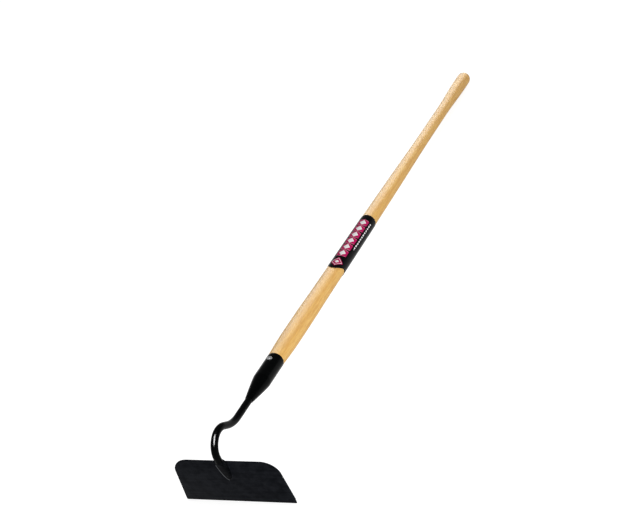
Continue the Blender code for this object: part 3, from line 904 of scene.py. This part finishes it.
def satin_blade_paint():
    """Satin blue-black on rolled plate, and bare ground steel along the bevel."""
    finish, tree, shader = new_finish("satin_blade_paint", IOR=1.5, Specular_IOR_Level=0.02)
    here = coordinates(tree, LAY_DOWN @ ON_BLADE)
    _, y, z = axes(tree, here)
    mottle = noise(tree, here, scale=55.0, detail=5.0, rough=0.62)
    rolled = noise(tree, stretched(tree, here, (8, 160, 40)))
    fine = noise(tree, here, scale=1500.0, rough=0.65)
    scratch = noise(tree, stretched(tree, here, (2600, 60, 60)), detail=4.0, rough=0.7)
    bevel_top = BEVEL_HEIGHT - BLADE_HEIGHT
    bare = y.above(bevel_top, bevel_top - 0.0003) * z.above(-0.0003, -0.0005)
    patches = (mottle * 0.7 + rolled * 0.3).above(0.36, 0.64)
    paint = mixed(tree, patches, (0.0018, 0.0028, 0.0054), (0.0170, 0.0190, 0.0245))
    steel = mixed(tree, scratch, (0.30, 0.30, 0.31), (0.62, 0.62, 0.63))
    feed(tree, shader.inputs["Base Color"], mixed(tree, bare, paint, steel))
    feed(tree, shader.inputs["Metallic"], bare)
    feed(tree, shader.inputs["Roughness"], mottle * 0.16 + fine * 0.06 + 0.32)
    bumped(tree, shader, ((mottle, 0.00005), (fine, 0.000012), (scratch * bare, 0.00002)))
    return finish


def upset_steel():
    """Rivet heads closed by hammering: shallow facets, fine turning marks and a dull skin."""
    finish, tree, shader = new_finish("upset_steel", Metallic=1.0)
    here = coordinates(tree, LAY_DOWN)
    facets = noise(tree, here, scale=420.0, detail=1.0)
    grit = noise(tree, here, scale=2600.0, detail=4.0, rough=0.7)
    steel = mixed(tree, grit.above(0.35, 0.7), (0.42, 0.42, 0.43), (0.72, 0.73, 0.74))
    feed(tree, shader.inputs["Base Color"], steel)
    feed(tree, shader.inputs["Roughness"], grit * 0.25 + 0.28)
    bumped(tree, shader, ((facets, 0.0003), (grit, 0.00001)))
    return finish


def lacquered_ash():
    """Straight ash under clear lacquer: rings, ray fleck, pores and slow changes of tone along it."""
    finish, tree, shader = new_finish(
        "lacquered_ash", IOR=1.45, Specular_IOR_Level=0.4, Specular_Tint=(1.0, 0.97, 0.76, 1.0),
        Coat_Weight=0.1, Coat_Roughness=0.2, Coat_IOR=1.45,
    )
    here = coordinates(tree, LAY_DOWN)

    def grain(across, along, detail=3.0, rough=0.5):
        """Noise drawn out along the handle, of so many waves per metre across and along it."""
        return noise(tree, stretched(tree, here, (across, along, across)), detail=detail, rough=rough)

    # Rings round a pith beside the handle and a little askew to it; early wood is the pale half of a ring
    x, y, z = axes(tree, here)
    drift = grain(6, 1.6, detail=2.0)
    aside = x - PITH_ASIDE - y * 0.012 + (drift - 0.5) * 0.016
    above_pith = z + PITH_BELOW + y * 0.008
    ring = (aside * aside + above_pith * above_pith).using("SQRT") / RING_WIDTH
    ring = ring + grain(160, 5) * 0.7
    late = ring.using("FRACT")
    early_wood = late.above(0.34, 0.04) + late.above(0.93, 1.0)

    streak = grain(420, 3.2, detail=4.0, rough=0.6)
    broad = grain(110, 1.5)
    fibre = grain(2400, 26, rough=0.65)
    fleck = grain(260, 22, rough=0.6)
    pores = grain(3400, 95, detail=2.0).above(0.60, 0.72) * early_wood
    tone = mixed(tree, broad.above(0.3, 0.7), (0.82, 0.475, 0.118), (0.89, 0.555, 0.165))
    for share, colour in (
        (streak.above(0.42, 0.72) * 0.6, (0.67, 0.36, 0.10)),
        (fleck.above(0.42, 0.62) * 0.6, (0.68, 0.34, 0.075)),
        (early_wood * 0.34, (0.58, 0.30, 0.08)),
        (fibre.above(0.5, 0.8) * 0.25, (0.90, 0.62, 0.28)),
        (pores * 0.55, (0.36, 0.18, 0.055)),
    ):
        tone = mixed(tree, share, tone, colour)
    feed(tree, shader.inputs["Base Color"], tone)
    feed(tree, shader.inputs["Roughness"], fibre * 0.08 + early_wood * 0.04 + 0.57)
    bumped(tree, shader, ((early_wood + streak, 0.00002), (fibre + pores * 2, 0.00001)))
    return finish


def printed_film():
    """Black printed card under a satin film: a chain of tiles, a dashed line and a lozenge on the tab."""
    finish, tree, shader = new_finish("printed_film", IOR=1.5, Specular_IOR_Level=0.02)
    sheet = tree.nodes.new("ShaderNodeUVMap")
    sheet.uv_map = "sheet_mm"
    here = sheet.outputs[0]
    across, along, _ = axes(tree, here)

    # Tiles with pointed ends, each with a diamond in its middle and a thin line near its ends
    side = abs(across - CHAIN_ACROSS)
    row = (along - CHAIN_FROM) / TILE_PITCH
    in_chain = row.above(0.0, 0.001) * row.above(TILE_COUNT, TILE_COUNT - 0.001)
    within = abs(row.using("FRACT") - 0.5) * TILE_PITCH
    reach = within + side * TILE_POINT
    tiles = reach.under(TILE_HALF_LENGTH, 0.1) * side.under(TILE_HALF_WIDTH, 0.1) * in_chain
    diamonds = (within / DIAMOND_HALF_LENGTH + side / DIAMOND_HALF_WIDTH).under(1.0, 0.03) * in_chain
    keyline = reach.under(KEYLINE_TO, 0.05) * reach.over(KEYLINE_FROM, 0.05)
    keyline = keyline * side.under(KEYLINE_HALF_WIDTH, 0.05) * in_chain

    # A dashed line beside the chain
    dashes = abs(across - DASH_ACROSS).under(DASH_HALF_WIDTH, 0.05)
    dashes = dashes * (along / DASH_PITCH).using("FRACT").under(DASH_SHARE, 0.015)
    dashes = dashes * along.over(DASHES_FROM, 0.1) * along.under(DASHES_TO, 0.1)

    # A lozenge on the tab, with a line inside its rim and a spot in its middle
    lozenge = abs(across - LOZENGE_ACROSS) / LOZENGE_HALF_WIDTH
    lozenge = lozenge + abs(along - LOZENGE_ALONG) / LOZENGE_HALF_LENGTH
    lozenge_line = lozenge.under(0.83, 0.01) * lozenge.over(0.74, 0.01)
    lozenge_spot = lozenge.under(0.34, 0.02)

    wear = noise(tree, stretched(tree, here, (1.3, 1.3, 1)), detail=4.0)
    black = mixed(tree, wear, (0.0016, 0.0014, 0.0017), (0.0042, 0.0036, 0.0044))
    magenta = mixed(tree, wear, (0.42, 0.0080, 0.085), (0.56, 0.0130, 0.130))
    white = (0.93, 0.91, 0.92)
    art = mixed(tree, tiles.using("MAXIMUM", lozenge.under(1.0, 0.02)), black, magenta)
    in_white = diamonds.using("MAXIMUM", dashes).using("MAXIMUM", lozenge_line.using("MAXIMUM", lozenge_spot))
    art = mixed(tree, in_white, art, white)
    feed(tree, shader.inputs["Base Color"], mixed(tree, keyline * 0.5, art, white))
    wrinkle = noise(tree, stretched(tree, here, (0.05, 0.016, 1)), detail=2.0)
    feed(tree, shader.inputs["Roughness"], wear * 0.12 + 0.20)
    bumped(tree, shader, ((wrinkle, 0.0006), (wear, 0.000008)))
    return finish


def card_core():
    """The pale pulp that shows along the card's cut edges."""
    finish, tree, shader = new_finish("card_core", Specular_IOR_Level=0.2, Roughness=0.9)
    fibres = noise(tree, coordinates(tree), scale=1800.0)
    feed(tree, shader.inputs["Base Color"], mixed(tree, fibres, (0.30, 0.28, 0.26), (0.55, 0.52, 0.48)))
    bumped(tree, shader, ((fibres, 0.00003),))
    return finish


# Floor, light and camera

def make_floor():
    """Wide pale floor that keeps the shadow and lets a view from below through."""
    shape = bmesh.new()
    bmesh.ops.create_grid(shape, x_segments=1, y_segments=1, size=FLOOR_REACH)
    mesh = bpy.data.meshes.new("studio_floor")
    shape.to_mesh(mesh)
    shape.free()
    floor = bpy.data.objects.new("studio_floor", mesh)
    bpy.context.scene.collection.objects.link(floor)
    paper = bpy.data.materials.new("white_paper")
    paper.use_nodes = True
    tree = paper.node_tree
    tree.nodes.clear()
    matt = tree.nodes.new("ShaderNodeBsdfDiffuse")
    matt.inputs["Color"].default_value = (FLOOR_GREY, FLOOR_GREY, FLOOR_GREY, 1.0)
    seen = tree.nodes.new("ShaderNodeLightPath")
    share = Signal(tree, seen.outputs["Is Camera Ray"])
    for kind in ("Is Glossy Ray", "Is Transmission Ray"):
        share = share.using("MAXIMUM", Signal(tree, seen.outputs[kind]))
    glow = tree.nodes.new("ShaderNodeEmission")
    feed(tree, glow.inputs["Strength"], share * FLOOR_GLOW)
    both = tree.nodes.new("ShaderNodeAddShader")
    feed(tree, both.inputs[0], matt.outputs[0])
    feed(tree, both.inputs[1], glow.outputs[0])
    under = tree.nodes.new("ShaderNodeMixShader")
    feed(tree, under.inputs[0], tree.nodes.new("ShaderNodeNewGeometry").outputs["Backfacing"])
    feed(tree, under.inputs[1], both.outputs[0])
    feed(tree, under.inputs[2], tree.nodes.new("ShaderNodeBsdfTransparent").outputs[0])
    end = tree.nodes.new("ShaderNodeOutputMaterial")
    feed(tree, end.inputs[0], under.outputs[0])
    mesh.materials.append(paper)


def make_world():
    """Soft room light, white at the horizon and dimmer overhead."""
    world = bpy.data.worlds.new("studio")
    bpy.context.scene.world = world
    world.use_nodes = True
    tree = world.node_tree
    _, _, up = axes(tree, tree.nodes.new("ShaderNodeTexCoord").outputs["Generated"])
    shade = mixed(tree, abs(up).above(0.025, 0.12), (1.0, 1.0, 1.0), (SKY_LEVEL, SKY_LEVEL, SKY_LEVEL))
    feed(tree, tree.nodes["Background"].inputs["Color"], shade)


def soft_box(name, aim, direction, distance, width, height, radiance):
    """Area lamp of a plain radiance, facing a point from a direction."""
    lamp = bpy.data.lights.new(name, "AREA")
    lamp.shape = "RECTANGLE"
    lamp.size, lamp.size_y = width, height
    lamp.energy = radiance * math.pi * width * height
    box = bpy.data.objects.new(name, lamp)
    bpy.context.scene.collection.objects.link(box)
    towards = Vector(direction).normalized()
    box.location = Vector(aim) + towards * distance
    box.rotation_mode = "QUATERNION"
    box.rotation_quaternion = towards.to_track_quat("Z", "Y")
    return box


def only_gloss_on(box, piece):
    """Makes a lamp a glint on one piece alone."""
    box.visible_diffuse = False
    lit = bpy.data.collections.new(box.name + "_lights")
    lit.objects.link(piece)
    box.light_linking.receiver_collection = lit


def make_lights(handle, neck):
    """Soft light from above and from the head's side, and a glint each for the neck and the handle."""
    soft_box(
        "key_light", aim=(0, 0, 0.1), direction=(0.05, -0.26, 0.90), distance=3.0,
        width=1.6, height=2.4, radiance=1.9,
    )
    side_light = soft_box(
        "side_light", aim=(0, -0.5, 0.1), direction=(0.97, -0.05, 0.20), distance=1.75,
        width=1.1, height=0.8, radiance=6.2,
    )
    side_light.visible_glossy = False
    neck_glint = soft_box(
        "neck_glint", aim=(0, -0.70, 0.1), direction=(0.20, -0.48, 0.86), distance=2.4,
        width=1.3, height=2.4, radiance=400.0,
    )
    only_gloss_on(neck_glint, neck)
    handle_sheen = soft_box(
        "handle_sheen", aim=(0, 0.2, 0.05), direction=(-0.24, 0.777, 0.58), distance=2.5,
        width=2.8, height=2.6, radiance=7.4,
    )
    only_gloss_on(handle_sheen, handle)


def make_camera():
    lens = bpy.data.cameras.new("camera")
    lens.lens = CAMERA_LENS
    lens.sensor_width = 36.0
    lens.clip_start, lens.clip_end = 0.05, 200.0
    camera = bpy.data.objects.new("camera", lens)
    bpy.context.scene.collection.objects.link(camera)
    place = Vector(CAMERA_PLACE)
    turn = (place - Vector(CAMERA_AIM)).to_track_quat("Z", "Y").to_matrix().to_4x4()
    camera.matrix_world = Matrix.Translation(place) @ turn @ Matrix.Rotation(CAMERA_ROLL, 4, "Z")
    bpy.context.scene.camera = camera


make_floor()
make_world()
make_camera()

black_paint = gloss_black_paint()
handle = make_handle(lacquered_ash())
make_ferrule(black_paint)
make_rivet(upset_steel())
blade_paint = satin_blade_paint()
neck = make_neck(black_paint, foot_paint_and_painted_highlight())
make_blade(blade_paint)
make_weld(blade_paint)
make_label(printed_film(), card_core())
make_lights(handle, neck)

bpy.context.scene.view_settings.view_transform = "Standard"
